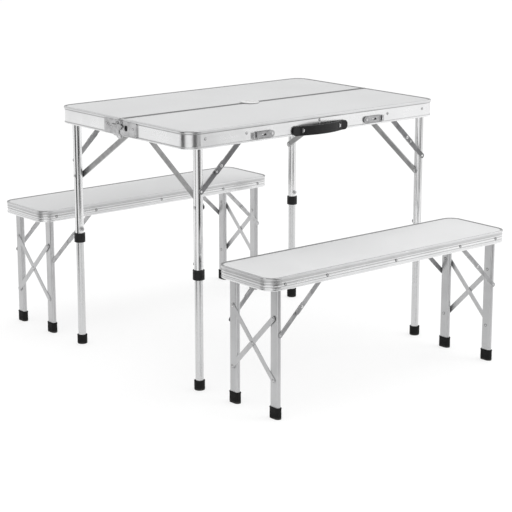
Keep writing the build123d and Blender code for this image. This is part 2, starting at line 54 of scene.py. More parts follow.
# ================================================================ materials
class Mat:
    """A node material whose patterns are laid out in the row frame's metres."""

    def __init__(self, name):
        self.m = bpy.data.materials.new(name)
        self.m.use_nodes = True
        self.nt = self.m.node_tree
        self.nt.nodes.clear()
        out = self.nt.nodes.new("ShaderNodeOutputMaterial")
        self.b = self.nt.nodes.new("ShaderNodeBsdfPrincipled")
        self.nt.links.new(self.b.outputs[0], out.inputs[0])
        self.co = self.nt.nodes.new("ShaderNodeTexCoord").outputs["Object"]
        sep = self.nt.nodes.new("ShaderNodeSeparateXYZ")
        self.nt.links.new(self.co, sep.inputs[0])
        self.x, self.y, self.z = sep.outputs[0], sep.outputs[1], sep.outputs[2]

    def put(self, sock, v):
        if isinstance(v, bpy.types.NodeSocket):
            self.nt.links.new(v, sock)
        elif isinstance(v, (tuple, list)) and len(v) == 3 and sock.type == "RGBA":
            sock.default_value = (*v, 1.0)
        else:
            sock.default_value = v

    def math(self, op, a, b=0.0, c=0.0, clamp=False):
        n = self.nt.nodes.new("ShaderNodeMath")
        n.operation = op
        n.use_clamp = clamp
        for s, v in zip(n.inputs, (a, b, c)):
            self.put(s, v)
        return n.outputs[0]

    def span(self, v, a, b, c=0.0, d=1.0, smooth=True):
        n = self.nt.nodes.new("ShaderNodeMapRange")
        n.interpolation_type = "SMOOTHSTEP" if smooth else "LINEAR"
        for s, k in zip(n.inputs, (v, a, b, c, d)):
            self.put(s, k)
        return n.outputs[0]

    def stretched(self, sx, sy, sz):
        n = self.nt.nodes.new("ShaderNodeVectorMath")
        n.operation = "MULTIPLY"
        self.put(n.inputs[0], self.co)
        n.inputs[1].default_value = (sx, sy, sz)
        return n.outputs[0]

    def noise(self, scale=1.0, stretch=(1, 1, 1), detail=2.0, rough=0.5, distortion=0.0):
        n = self.nt.nodes.new("ShaderNodeTexNoise")
        self.put(n.inputs["Vector"], self.stretched(*stretch))
        n.inputs["Scale"].default_value = scale
        n.inputs["Detail"].default_value = detail
        n.inputs["Roughness"].default_value = rough
        n.inputs["Distortion"].default_value = distortion
        return n.outputs["Fac"]

    def cells(self, scale, stretch=(1, 1, 1), feature="F1"):
        n = self.nt.nodes.new("ShaderNodeTexVoronoi")
        n.feature = feature
        self.put(n.inputs["Vector"], self.stretched(*stretch))
        n.inputs["Scale"].default_value = scale
        return n

    def mix(self, f, a, b, mode="MIX"):
        n = self.nt.nodes.new("ShaderNodeMix")
        n.data_type = "RGBA"
        n.blend_type = mode
        n.clamp_factor = True
        self.put(n.inputs[0], f)
        self.put(n.inputs[6], a)
        self.put(n.inputs[7], b)
        return n.outputs[2]

    def grey(self, v):
        n = self.nt.nodes.new("ShaderNodeCombineColor")
        for s in n.inputs[:3]:
            self.put(s, v)
        return n.outputs[0]

    def bump(self, height, distance, strength=1.0, after=None):
        n = self.nt.nodes.new("ShaderNodeBump")
        n.inputs["Strength"].default_value = strength
        n.inputs["Distance"].default_value = distance
        self.put(n.inputs["Height"], height)
        if after is not None:
            self.put(n.inputs["Normal"], after)
        return n.outputs[0]

    def set(self, **k):
        for name, v in k.items():
            self.put(self.b.inputs[name.replace("_", " ").title().replace("Ior", "IOR")], v)
        return self


def shade(base, k):
    return tuple(c * k for c in base)


def aluminium(name, base, along, rough=0.30, streak=0.10, tint_low=0.955, relief=1.0):
    """Satin anodised extrusion.  `along` is the die-line direction: 'xy' runs round
    the rims, 'z' runs down the tubes."""
    m = Mat(name)
    st = (2.2, 2.2, 700.0) if along == "xy" else (700.0, 700.0, 2.2)
    st2 = (1.2, 1.2, 160.0) if along == "xy" else (160.0, 160.0, 1.2)
    fine = m.noise(1.0, st, 3.0, 0.6)
    broad = m.noise(1.0, st2, 2.0, 0.5)
    smudge = m.noise(9.0, (1, 1, 1), 4.0, 0.62, 0.6)
    speck = m.noise(420.0, (1, 1, 1), 1.0, 0.5)
    tone = m.math("MULTIPLY_ADD", m.math("SUBTRACT", broad, 0.5), 0.09, 1.0)
    tone = m.math("MULTIPLY", tone, m.span(smudge, 0.30, 0.62, tint_low, 1.0))
    tone = m.math("MULTIPLY", tone, m.math("MULTIPLY_ADD", m.math("SUBTRACT", fine, 0.5), 0.05, 1.0))
    col = m.mix(1.0, base, m.grey(tone), "MULTIPLY")
    r = m.math("MULTIPLY_ADD", m.math("SUBTRACT", fine, 0.5), streak * 2, rough)
    r = m.math("ADD", r, m.span(smudge, 0.62, 0.36, 0.0, 0.05 * relief))
    r = m.math("ADD", r, m.math("MULTIPLY", m.math("SUBTRACT", speck, 0.5), 0.02 * relief), clamp=True)
    n = m.bump(fine, 0.000016 * relief, 0.5)
    n = m.bump(broad, 0.00005 * relief, 0.3, n)
    m.set(base_color=col, metallic=1.0, roughness=r, normal=n)
    m.tone, m.rough = col, r
    return m


def zinc(name, base, rough=0.40, lit_edges=None, spangle=330.0):
    """Dull zinc-plated steel: faint spangle, rolling scratches, and, where an edge mask is given, paler edges painted
    on as highlights.
    """
    m = Mat(name)
    v = m.cells(spangle, (1, 1, 1))
    sp = m.nt.nodes.new("ShaderNodeSeparateColor")
    m.nt.links.new(v.outputs["Color"], sp.inputs[0])
    flake = sp.outputs[0]
    cloud = m.noise(34.0, (1, 1, 1), 5.0, 0.6, 0.3)
    scratch = m.noise(1.0, (900, 900, 70), 2.0, 0.5, 0.2)
    tone = m.math("MULTIPLY_ADD", m.math("SUBTRACT", flake, 0.5), 0.16, 1.0)
    tone = m.math("MULTIPLY", tone, m.span(cloud, 0.28, 0.70, 0.80, 1.14))
    tone = m.math("MULTIPLY", tone, m.math("MULTIPLY_ADD", m.math("SUBTRACT", scratch, 0.5), 0.22, 1.0))
    col = m.mix(1.0, base, m.grey(tone), "MULTIPLY")
    r = m.math("MULTIPLY_ADD", m.math("SUBTRACT", flake, 0.5), 0.10, rough)
    r = m.math("ADD", r, m.span(cloud, 0.65, 0.35, 0.0, 0.10), clamp=True)
    if lit_edges is not None:
        # painted highlight: the bar's edges are mixed toward a paler grey, with a ragged border, standing in for the
        # light they catch
        edge = lit_edges(m)
        ragged_painted_light = m.math("MULTIPLY", edge, m.span(m.noise(160.0, (1, 1, 1), 3.0), 0.30, 0.58))
        col = m.mix(m.math("MULTIPLY", ragged_painted_light, 0.75), col, (0.62, 0.62, 0.62))
        r = m.math("SUBTRACT", r, m.math("MULTIPLY", ragged_painted_light, 0.12), clamp=True)
    n = m.bump(scratch, 0.00008, 0.45)
    n = m.bump(cloud, 0.0003, 0.25, n)
    m.set(base_color=col, metallic=1.0, roughness=r, normal=n)
    m.tone, m.rough = col, r
    return m


def painted_edge_highlight_mask(a, p, q, half, soft=0.0016, centre=0.0, axis="x"):
    """Edge mask of a slanted flat bar, used to paint highlights along its edges: 0 in the middle of its width, 1 at
    its edges.
    p and q are the bar's ends as (|horizontal|, z) in metres."""
    dx, dz = q[0] - p[0], q[1] - p[1]
    n = math.hypot(dx, dz)

    def mask(m):
        h = m.math("ABSOLUTE", m.math("SUBTRACT", m.x if axis == "x" else m.y, centre))
        u = m.math("MULTIPLY", m.math("SUBTRACT", h, p[0]), dz / n)
        w = m.math("MULTIPLY", m.math("SUBTRACT", m.z, p[1]), -dx / n)
        d = m.math("ABSOLUTE", m.math("ADD", u, w))
        return m.span(d, half - soft, half)
    return mask


def melamine(name, base, half=None, centre=(0.0, 0.0)):
    """Matt white laminate: orange peel, faint rub marks, and painted shade along the crease at the lip and, when
    given, at the seam.
    """
    m = Mat(name)
    peel = m.noise(620.0, (1, 1, 1), 2.0, 0.5)
    cloud = m.noise(5.0, (1, 1, 1), 4.0, 0.55, 0.4)
    rub = m.noise(1.0, (26.0, 240.0, 26.0), 3.0, 0.6, 1.2)
    rub2 = m.noise(1.0, (210.0, 30.0, 26.0), 3.0, 0.6, 1.0)
    grain = m.noise(1500.0, (1, 1, 1), 1.0, 0.5)
    tone = m.span(cloud, 0.25, 0.75, 0.970, 1.015)
    tone = m.math("MULTIPLY", tone, m.span(rub, 0.66, 0.80, 1.0, 0.965))
    tone = m.math("MULTIPLY", tone, m.span(rub2, 0.68, 0.80, 1.0, 0.97))
    tone = m.math("MULTIPLY", tone, m.math("MULTIPLY_ADD", m.math("SUBTRACT", grain, 0.5), 0.05, 1.0))
    # painted shade: the laminate darkens within a few millimetres of the lip, and of the seam on a table half, where
    # the crease falls in shade
    if half is not None:
        ex = m.math("SUBTRACT", half[0], m.math("ABSOLUTE", m.math("SUBTRACT", m.x, centre[0])))
        ey = m.math("SUBTRACT", half[1], m.math("ABSOLUTE", m.math("SUBTRACT", m.y, centre[1])))
        e = m.math("MINIMUM", ex, ey)
        if half[2] is not None:      # the seam side of a table half
            e = m.math("MINIMUM", e, m.math("SUBTRACT", m.math("ABSOLUTE", m.y), half[2]))
        ragged_painted_light = m.math("MULTIPLY_ADD", m.math("SUBTRACT", m.noise(60.0, (1, 1, 1), 4.0), 0.5), 0.004, e)
        tone = m.math("MULTIPLY", tone, m.span(ragged_painted_light, 0.0004, 0.0046, 0.54, 1.0))
    col = m.mix(1.0, base, m.grey(tone), "MULTIPLY")
    r = m.span(cloud, 0.3, 0.7, 0.40, 0.50)
    r = m.math("SUBTRACT", r, m.span(rub, 0.64, 0.80, 0.0, 0.10), clamp=True)
    n = m.bump(peel, 0.00010, 0.35)
    n = m.bump(cloud, 0.0012, 0.08, n)
    m.set(base_color=col, metallic=0.0, roughness=r, normal=n)
    m.b.inputs["Specular IOR Level"].default_value = 0.35
    return m


def plastic(name, base, rough=0.42, grain=1400.0, dust=0.5, sheen=0.20):
    """Moulded black plastic: spark-eroded grain, flow marks, a few pale dusty streaks."""
    m = Mat(name)
    g = m.noise(grain, (1, 1, 1), 2.0, 0.6)
    flow = m.noise(22.0, (1, 1, 1), 3.0, 0.5, 0.8)
    scuff = m.noise(1.0, (120, 120, 700), 3.0, 0.6, 0.5)
    k = m.math("MULTIPLY_ADD", m.math("SUBTRACT", g, 0.5), 0.35, 1.0)
    k = m.math("MULTIPLY", k, m.span(flow, 0.3, 0.7, 0.85, 1.2))
    col = m.mix(1.0, base, m.grey(k), "MULTIPLY")
    col = m.mix(m.span(scuff, 0.66, 0.84, 0.0, 0.30 * dust), col, (0.16, 0.16, 0.16))
    r = m.math("MULTIPLY_ADD", m.math("SUBTRACT", g, 0.5), 0.16, rough)
    r = m.math("ADD", r, m.span(flow, 0.35, 0.65, -0.04, 0.06), clamp=True)
    n = m.bump(g, 0.00010, 0.5)
    m.set(base_color=col, roughness=r, normal=n)
    m.b.inputs["Specular IOR Level"].default_value = sheen
    return m


def rubber(name, base):
    """Matt rubber boot with a paler scuffed, dusty band by the ground."""
    m = Mat(name)
    g = m.noise(900.0, (1, 1, 1), 3.0, 0.6)
    cloud = m.noise(70.0, (1, 1, 1), 4.0, 0.6, 0.4)
    low = m.math("MULTIPLY_ADD", m.math("SUBTRACT", cloud, 0.5), 0.010, m.z)
    dirt = m.span(low, 0.0065, 0.0005, 0.0, 0.55)
    k = m.math("MULTIPLY_ADD", m.math("SUBTRACT", g, 0.5), 0.4, 1.0)
    col = m.mix(1.0, base, m.grey(k), "MULTIPLY")
    col = m.mix(dirt, col, (0.070, 0.068, 0.062))
    r = m.math("ADD", m.span(cloud, 0.3, 0.7, 0.52, 0.66), m.math("MULTIPLY", dirt, 0.2), clamp=True)
    n = m.bump(g, 0.00012, 0.5)
    m.set(base_color=col, roughness=r, normal=n)
    m.b.inputs["Specular IOR Level"].default_value = 0.09
    return m


# half extents of a table half's board and the board's distance from the seam, for the painted crease shade
HALF = (0.4430, 0.2930, 0.0056)
M = {}
M["board"] = melamine("board_laminate", (0.535, 0.537, 0.540), HALF)
M["rim"] = aluminium("rim_anodised", (0.800, 0.802, 0.806), "xy", 0.27, 0.03)
M["lower"] = aluminium("lower_tube_satin", (0.625, 0.627, 0.631), "z", 0.26, 0.02, 0.985, 0.3)
M["bench_leg"] = aluminium("bench_leg_satin", (0.530, 0.532, 0.536), "z", 0.36, 0.03)
# painted light: front and back braces are one zinc finish, split into a darker copy for the front braces and a lighter
# copy for the back ones to stand in for how they are lit
M["brace"] = zinc("brace_zinc", (0.200, 0.200, 0.205), 0.36,
                  painted_edge_highlight_mask(0, (0.403, 0.540), (0.268, 0.667), 0.0075))
M["brace_back_lit"] = zinc("brace_zinc_back_lit", (0.340, 0.340, 0.345), 0.38,
                       painted_edge_highlight_mask(0, (0.403, 0.540), (0.268, 0.667), 0.0075))
M["fittings"] = zinc("fittings_zinc", (0.520, 0.520, 0.525), 0.34)
M["latch"] = zinc("latch_zinc", (0.400, 0.400, 0.405), 0.33)
M["lever"] = zinc("lever_zinc", (0.470, 0.470, 0.475), 0.32)
M["button"] = zinc("button_plate", (0.420, 0.420, 0.425), 0.26)
M["rivet"] = zinc("rivet_alloy", (0.660, 0.660, 0.665), 0.28, None, 900.0)
M["mandrel"] = zinc("mandrel_steel_and_shade_rings", (0.120, 0.120, 0.122), 0.42, None, 900.0)
M["black"] = plastic("black_moulding", (0.013, 0.013, 0.0135), 0.42)
M["handle"] = plastic("handle_moulding", (0.014, 0.014, 0.0145), 0.36, 1000.0, 0.4)
M["rubber"] = rubber("foot_rubber", (0.012, 0.012, 0.012))
M["cap"] = plastic("cap_moulding", (0.530, 0.530, 0.528), 0.45, 1400.0, 0.0)

# rims: painted shade in the seam, in the corner where the lip meets the board, and in bands along the extrusion's
# grooves and under its beads
def paint_crease_and_groove_shade(m, seam, inner, bands):
    top = m.span(m.z, inner[3] - 0.0022, inner[3] - 0.0012, 0.0, 1.0)
    rag = m.math("MULTIPLY", m.math("SUBTRACT", m.noise(90.0, (1, 1, 1), 3.0), 0.5), 0.0016)
    k = 1.0
    if seam:
        k = m.span(m.math("ADD", m.math("ABSOLUTE", m.y), rag), 0.0015, 0.0054, 0.34, 0.90)
    ex = m.math("SUBTRACT", m.math("ABSOLUTE", m.math("SUBTRACT", m.x, inner[1])), inner[0][0])
    ey = m.math("SUBTRACT", m.math("ABSOLUTE", m.math("SUBTRACT", m.y, inner[2])), inner[0][1])
    e = m.math("ADD", m.math("MAXIMUM", ex, ey), rag)
    k = m.math("MULTIPLY", k, m.span(e, 0.0003, 0.0022, 0.50, 1.0))
    k = m.math("MULTIPLY_ADD", m.math("SUBTRACT", k, 1.0), top, 1.0)
    # painted shade: darker bands at the given depths below the top, along the grooves and under the beads
    for lo, hi, soft, v in bands:
        lo, hi, soft = inner[3] - hi * MM, inner[3] - lo * MM, soft * MM
        w = m.math("MULTIPLY", m.span(m.z, lo - soft, lo, 0.0, 1.0), m.span(m.z, hi, hi + soft, 1.0, 0.0))
        k = m.math("MULTIPLY", k, m.math("MULTIPLY_ADD", w, v - 1.0, 1.0))
    m.set(base_color=m.mix(1.0, m.tone, m.grey(k), "MULTIPLY"),
          roughness=m.math("ADD", m.rough, m.math("MULTIPLY", m.math("SUBTRACT", 1.0, k), 0.4), clamp=True))


paint_crease_and_groove_shade(M["rim"], True, ((0.443, 0.293), 0.0, 0.0, 0.7),
      ((1.2, 6.4, 0.6, 0.88), (6.4, 8.6, 0.5, 0.60), (41.0, 42.8, 0.4, 0.70)))

# upper tube: polished fluted aluminium; the side brace on its inner face is dull zinc, with highlights painted along
# its edges
m = aluminium("upper_tube_polished", (0.800, 0.802, 0.806), "z", 0.13, 0.010, 0.985, 0.15)
bar = m.span(m.math("ABSOLUTE", m.x), 0.39055, 0.39072, 1.0, 0.0, False)
edge = painted_edge_highlight_mask(0, (0.278, 0.497), (0.014, 0.667), 0.0080, 0.0018, 0.0, "y")(m)
# painted highlight: the side brace's edges are mixed toward a paler grey
dull = m.mix(m.math("MULTIPLY", edge, 0.6),
             m.grey(m.span(m.noise(40.0, (1, 1, 1), 5.0, 0.6), 0.3, 0.7, 0.24, 0.34)), (0.60, 0.60, 0.60))
m.set(base_color=m.mix(bar, m.tone, dull),
      roughness=m.math("ADD", m.rough, m.math("MULTIPLY", bar, 0.16), clamp=True))
M["leg"] = m

for bn, (cx, cy) in BENCHES.items():
    # painted light: both benches share one laminate, given a lighter copy on the front bench and a darker one on the
    # back bench
    seat_light_level = 0.635 if bn == "front_bench" else 0.605
    M[bn + "_seat"] = melamine(bn + "_laminate", (seat_light_level, seat_light_level + 0.002, seat_light_level + 0.005), (0.4280, 0.1040, None),
                               (cx * MM, cy * MM))
    # painted light: the same zinc, a darker copy on the front bench's braces and a lighter one on the back bench's
    bt = 0.345 if bn == "front_bench" else 0.47
    M[bn + "_brace"] = zinc(bn + "_brace_zinc", (bt, bt, bt + 0.005), 0.36,
                            painted_edge_highlight_mask(0, (0.390, 0.221), (0.248, 0.355), 0.00625, 0.0015, cx * MM))
    M[bn + "_rim"] = aluminium(bn + "_rim_anodised", (0.790, 0.792, 0.796), "xy", 0.26, 0.03)
    # painted shade in the grooves either side of the rib
    paint_crease_and_groove_shade(M[bn + "_rim"], False, ((0.428, 0.104), cx * MM, cy * MM, 0.374),
          ((1.0, 5.8, 0.8, 0.84), (5.8, 11.6, 0.6, 0.72), (15.0, 17.4, 0.4, 0.70), (22.4, 24.6, 0.4, 0.70),
           (27.2, 29.0, 0.4, 0.86)))


def material_of(node):
    for bn in BENCHES:
        if node.startswith(bn):
            if node.endswith("_seat"):
                return M[bn + "_seat"]
            if node.endswith("_rim"):
                return M[bn + "_rim"]
            if node.endswith("_legs"):
                return M["bench_leg"]
            if node.endswith("_feet"):
                return M["rubber"]
            return M[bn + "_brace"]
    table = (("_board", "board"), ("_rim", "rim"), ("_fittings", "fittings"), ("handle", "handle"),
             ("umbrella_cap", "cap"), ("_collar", "black"), ("_lower_tube", "lower"), ("_foot", "rubber"),
             ("_snap_button", "button"), ("_leg", "leg"))
    if node.startswith("latch"):
        return M["latch"]
    if node.startswith("lock_lever"):
        return M["lever"]
    if "_brace" in node:
        # darker zinc copy on the front braces, lighter copy on the back ones: painted light
        return M["brace" if node.startswith("front") else "brace_back_lit"]
    for tail, key in table:
        if node.endswith(tail):
            return M[key]
    raise KeyError(node)


for name, ob in NODES.items():
    mat = material_of(name).m
    for s in ob.material_slots:
        s.material = mat


# ================================================================ mesh building
class Build:
    """Collects closed solids (in mm, row frame) into one mesh piece."""

    def __init__(self):
        self.v, self.f = [], []

    def loft(self, loops, cyclic=False, caps=True):
        n = len(loops[0])
        base = len(self.v)
        for lp in loops:
            self.v += [tuple(p) for p in lp]
        k = len(loops)
        for i in range(k if cyclic else k - 1):
            a, b = base + i * n, base + ((i + 1) % k) * n
            for j in range(n):
                jj = (j + 1) % n
                self.f.append((a + j, a + jj, b + jj, b + j))
        if not cyclic and caps:
            self.f.append(tuple(base + j for j in range(n - 1, -1, -1)))
            self.f.append(tuple(base + (k - 1) * n + j for j in range(n)))
        return self

    def lathe(self, profile, origin, axis, seg=20):
        """profile is [(r, h)], from the axis out and back to the axis."""
        o, n = Vector(origin), Vector(axis).normalized()
        u = n.orthogonal().normalized()
        w = n.cross(u)
        base = len(self.v)
        rings = []
        for r, h in profile:
            if r < 1e-6:
                rings.append((len(self.v),))
                self.v.append(tuple(o + n * h))
            else:
                ids = []
                for j in range(seg):
                    a = 2 * math.pi * j / seg
                    ids.append(len(self.v))
                    self.v.append(tuple(o + n * h + (u * math.cos(a) + w * math.sin(a)) * r))
                rings.append(tuple(ids))
        for a, b in zip(rings, rings[1:]):
            for j in range(seg):
                jj = (j + 1) % seg
                if len(a) == 1 and len(b) == 1:
                    continue
                if len(a) == 1:
                    self.f.append((a[0], b[j], b[jj]))
                elif len(b) == 1:
                    self.f.append((a[j], a[jj], b[0]))
                else:
                    self.f.append((a[j], a[jj], b[jj], b[j]))
        return self

    def ring(self, profile, origin, axis, seg=32):
        """Closed ring: profile is a closed polygon of (r, h) that stays off the axis."""
        o, n = Vector(origin), Vector(axis).normalized()
        u = n.orthogonal().normalized()
        w = n.cross(u)
        loops = []
        for j in range(seg):
            a = 2 * math.pi * j / seg
            d = u * math.cos(a) + w * math.sin(a)
            loops.append([tuple(o + n * h + d * r) for r, h in profile])
        return self.loft(loops, cyclic=True)

    def tube(self, path, r, seg=10, up=(0, 0, 1)):
        """Round bead along a polyline, with domed ends."""
        pts = [Vector(p) for p in path]
        loops = []
        ts = []
        for i in range(len(pts)):
            a = pts[max(i - 1, 0)]
            b = pts[min(i + 1, len(pts) - 1)]
            ts.append((b - a).normalized())
        seq = [(pts[0] - ts[0] * r * 0.6, ts[0], r * 0.45)]
        seq += [(p, t, r) for p, t in zip(pts, ts)]
        seq.append((pts[-1] + ts[-1] * r * 0.6, ts[-1], r * 0.45))
        for p, t, rr in seq:
            x = t.cross(Vector(up)).normalized()
            y = x.cross(t).normalized()
            loops.append([tuple(p + (x * math.cos(2 * math.pi * j / seg) + y * math.sin(2 * math.pi * j / seg)) * rr)
                          for j in range(seg)])
        return self.loft(loops)

    def slab(self, centre, ux, uy, half, z0, z1, chamfer=0.3):
        """Chamfered rectangular pad standing on a face: ux, uy span it, its normal is ux x uy."""
        c, ux, uy = Vector(centre), Vector(ux).normalized(), Vector(uy).normalized()
        n = ux.cross(uy)
        loops = []
        for inset, h in ((0, z0), (0, z1 - chamfer), (chamfer, z1)):
            a, b = half[0] - inset, half[1] - inset
            loops.append([tuple(c + ux * sx * a + uy * sy * b + n * h)
                          for sx, sy in ((-1, -1), (1, -1), (1, 1), (-1, 1))])
        return self.loft(loops)

    def make(self, name, mat, body, slot=None, sharp=32.0):
        me = bpy.data.meshes.new(name)
        bm = bmesh.new()
        vs = [bm.verts.new((x * MM, y * MM, z * MM)) for x, y, z in self.v]
        for f in self.f:
            try:
                bm.faces.new([vs[i] for i in f])
            except ValueError:
                pass
        bmesh.ops.recalc_face_normals(bm, faces=bm.faces)
        lim = math.radians(sharp)
        for f in bm.faces:
            f.smooth = True
        for e in bm.edges:
            if len(e.link_faces) == 2 and e.calc_face_angle(0.0) > lim:
                e.smooth = False
        bm.to_mesh(me)
        bm.free()
        ob = bpy.data.objects.new(name, me)
        bpy.context.scene.collection.objects.link(ob)
        me.materials.append(mat.m)
        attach(ob, body)
        return ob


def rivet(head, core, p, n, r, h, seg=20, lift=0.0):
    """Blind rivet over a plain CAD dome of radius r and height h: flange, crater, mandrel, and a dark ring of painted
    shade round the flange.
    """
    R, H = r + 0.35, h + 0.42
    head.lathe([(0, -0.35), (R + 0.25, -0.35), (R + 0.25, 0.18), (R, 0.42 * H), (0.86 * R, 0.70 * H),
                (0.66 * R, 0.92 * H), (0.48 * R, H), (0.40 * R, H), (0.34 * R, h + 0.08), (0, h + 0.08)], p, n, seg)
    core.lathe([(0, h - 0.4), (0.28 * R, h - 0.4), (0.28 * R, h + 0.16), (0.17 * R, h + 0.26), (0, h + 0.28)],
               p, n, 12)
    # dark ring round the flange, in the mandrel's dark steel: painted shade where the head sits on the sheet
    core.ring([(R - 0.2, -0.25), (R - 0.2, 0.06 + lift), (R + 0.7, 0.10 + lift), (R + 1.0, 0.05 + lift), (R + 1.05, -0.25)], p, n, seg)


def peened(b, p, n, r, h, seg=20):
    """Peened end of a pin."""
    b.lathe([(0, -0.6), (r, -0.6), (r, 0.30 * h), (0.90 * r, 0.62 * h), (0.66 * r, 0.90 * h), (0.30 * r, h), (0, h)],
            p, n, seg)


def stadium(cx, cy, length, width, off, z, seg=10):
    """Loop of a stadium whose long side runs along Y."""
    r = width / 2 + off
    c = (length - width) / 2
    pts = []
    for k in range(seg + 1):
        a = math.pi * k / seg
        pts.append((cx + r * math.cos(a), cy + c + r * math.sin(a), z))
    for k in range(seg + 1):
        a = math.pi + math.pi * k / seg
        pts.append((cx + r * math.cos(a), cy - c + r * math.sin(a), z))
    return pts


# ---------------------------------------------------------------- table halves
YF = -TW / 2 + 2.4
for half, s in (("front_half", -1), ("back_half", 1)):
    head, core, pins, plate = Build(), Build(), Build(), Build()
    for x in (-393, -256, 0, 256, 393):
        rivet(head, core, (x, s * (TW / 2 - 2.4), TH - 22), (0, s, 0), 2.7, 1.3)
    for sx in (-1, 1):
        xf = sx * (TL / 2 + 1.5)
        if s < 0:
            rivet(head, core, (xf, -60, TH - 22), (sx, 0, 0), 2.6, 1.3)
            rivet(head, core, (xf, -68, TH - 38), (sx, 0, 0), 2.2, 1.0)
            peened(pins, (sx * (TL / 2 + 3.6), 0, TH - 48), (sx, 0, 0), 4.4, 0.5)
        else:
            rivet(head, core, (xf, 62, TH - 20), (sx, 0, 0), 2.6, 1.3)
            rivet(head, core, (xf, 52, TH - 20), (sx, 0, 0), 2.0, 1.0)
            peened(pins, (sx * (TL / 2 + 5.6), 34, TH - 23.5), (sx, 0, 0), 4.3, 1.4)
        # peened ends of the leg pins and of the side-brace pins, in their ears
        x = sx * LEG_X
        for yy, d in ((s * (LEG_Y + TUBE_R + 2.2), s), (s * (LEG_Y - TUBE_R - 2.2), -s)):
            peened(pins, (x, yy, LEG_Z), (0, d, 0), 4.3, 0.9)
        peened(pins, (x, s * (14 + 10.4), LEG_Z), (0, s, 0), 4.2, 0.8)
        # rivets that hold each bracket's base plate to the panel, seen from below
        for yy in (s * (LEG_Y - 9), s * (LEG_Y + 9), s * (14 - 7), s * (14 + 7)):
            peened(pins, (x, yy, TH - 8.4), (0, 0, -1), 3.0, 1.2)
        # boss of the folding brace's pin on the long wall
        px = sx * (LEG_X - BB)
        pins.lathe([(0, -0.5), (6.0, -0.5), (6.0, 0.3), (5.0, 0.62), (0, 0.62)],
                   (px, s * (TW / 2 - 3.6), LEG_Z), (0, -s, 0), 24)
    if s < 0:
        rivet(head, core, (0, YF, TH - 12.8), (0, -1, 0), 2.7, 1.3)
        for sx in (-1, 1):
            peened(pins, (sx * 172, YF - 5.0, TH - 31), (0, -1, 0), 3.9, 1.35)
            # keeper: folded lip with its spot-weld dimples
            plate.tube([(sx * 230.8, YF - 5.0, TH - 39.2), (sx * 230.8, YF - 5.0, TH - 23.8)], 0.7, 8, (0, 1, 0))
            plate.tube([(sx * 236.7, YF - 5.0, TH - 39.2), (sx * 236.7, YF - 5.0, TH - 23.8)], 0.6, 8, (0, 1, 0))
            for dz in (-4.5, 4.0):
                plate.lathe([(0, -0.3), (1.5, -0.3), (1.5, 0.1), (1.0, 0.32), (0, 0.34)],
                            (sx * 233.7, YF - 5.2, TH - 31.5 + dz), (0, -1, 0), 14)
        # dark plate behind the window of each end leaf: painted shade standing in for the shadowed inside of the leaf
        window_shade = Build()
        for sx in (-1, 1):
            window_shade.slab((sx * (TL / 2 - 3.9), -29, TH - 23.3), (0, 1, 0), (0, 0, -sx), (8.2, 9.2), 0.0, 1.2, 0.3)
        window_shade.make("front_lock_window_shade", M["black"], half, "handle")
    # pressed stiffening bead along each end leaf
    for sx in (-1, 1):
        xf = sx * (TL / 2 + 1.5)
        if s < 0:
            # end of the leaf, joggled down onto the rim's wall
            w = sx * (TL / 2 - 2.4)
            plate.loft([[(xf, -74.9, z), (w, -80.5, z), (w, -74.9, z)] for z in (TH - 41.2, TH - 8.0)])
            plate.tube([(xf, -72, TH - 6.5), (xf, 9, TH - 6.5)], 0.55, 8)
            plate.tube([(xf, -72, TH - 43.0), (xf, -14, TH - 43.0)], 0.55, 8)
            # raised frame round the dark window
            pts = []
            for k in range(24):
                a = 2 * math.pi * k / 24
                c, q = math.cos(a), math.sin(a)
                e = 0.55
                pts.append((xf, -29 + math.copysign(abs(c) ** e, c) * 6.7, TH - 23.2 + math.copysign(abs(q) ** e, q) * 7.9))
            loops = []
            for k in range(24):
                p, nx = Vector(pts[k]), Vector(pts[(k + 1) % 24]) - Vector(pts[k - 1])
                t = nx.normalized()
                side = t.cross(Vector((1, 0, 0)))
                loops.append([tuple(p + (side * math.cos(2 * math.pi * j / 8) + Vector((1, 0, 0)) * math.sin(2 * math.pi * j / 8)) * 0.55)
                              for j in range(8)])
            plate.loft(loops, cyclic=True)
        else:
            plate.tube([(xf, 29, TH - 6.5), (xf, 69, TH - 6.5)], 0.55, 8)
            plate.tube([(xf, 29, TH - 43.0), (xf, 69, TH - 43.0)], 0.55, 8)
    nm = half.split("_")[0]
    head.make(nm + "_rivet_heads", M["rivet"], half, "fittings")
    core.make(nm + "_rivet_mandrels_and_shade_rings", M["mandrel"], half, "fittings")
    pins.make(nm + "_pin_heads", M["rivet"], half, "fittings")
    plate.make(nm + "_leaf_beads", M["fittings"], half, "fittings")

# ---------------------------------------------------------------- carrying handle
OUTER = -TW / 2 - 3.8
RAD = (76.0 ** 2 + 15.0 ** 2) / 30.0


def handle_y(x, off=0.0):
    if abs(x) >= 76:
        return OUTER - off
    return OUTER - 15 + RAD - math.sqrt(RAD * RAD - x * x) - off


beads = Build()
for dz, r in ((2.2, 0.9), (23.8, 0.9)):
    beads.tube([(x, handle_y(x, 0.05), TH - 48 + dz) for x in [-86 + 172 * k / 40 for k in range(41)]], r, 10)
for k in range(3):
    z = TH - 48 + 8.5 + 4.5 * k
    beads.tube([(x, handle_y(x, -0.05), z) for x in [-50 + 100 * j / 24 for j in range(25)]], 0.75, 10)
# grip ribs on the back of the bow, where the fingers go
for k in range(13):
    x = -48 + 8 * k
    y = handle_y(x) + 3.62
    beads.tube([(x, y, TH - 44), (x, y, TH - 26)], 0.8, 8, (0, 1, 0))
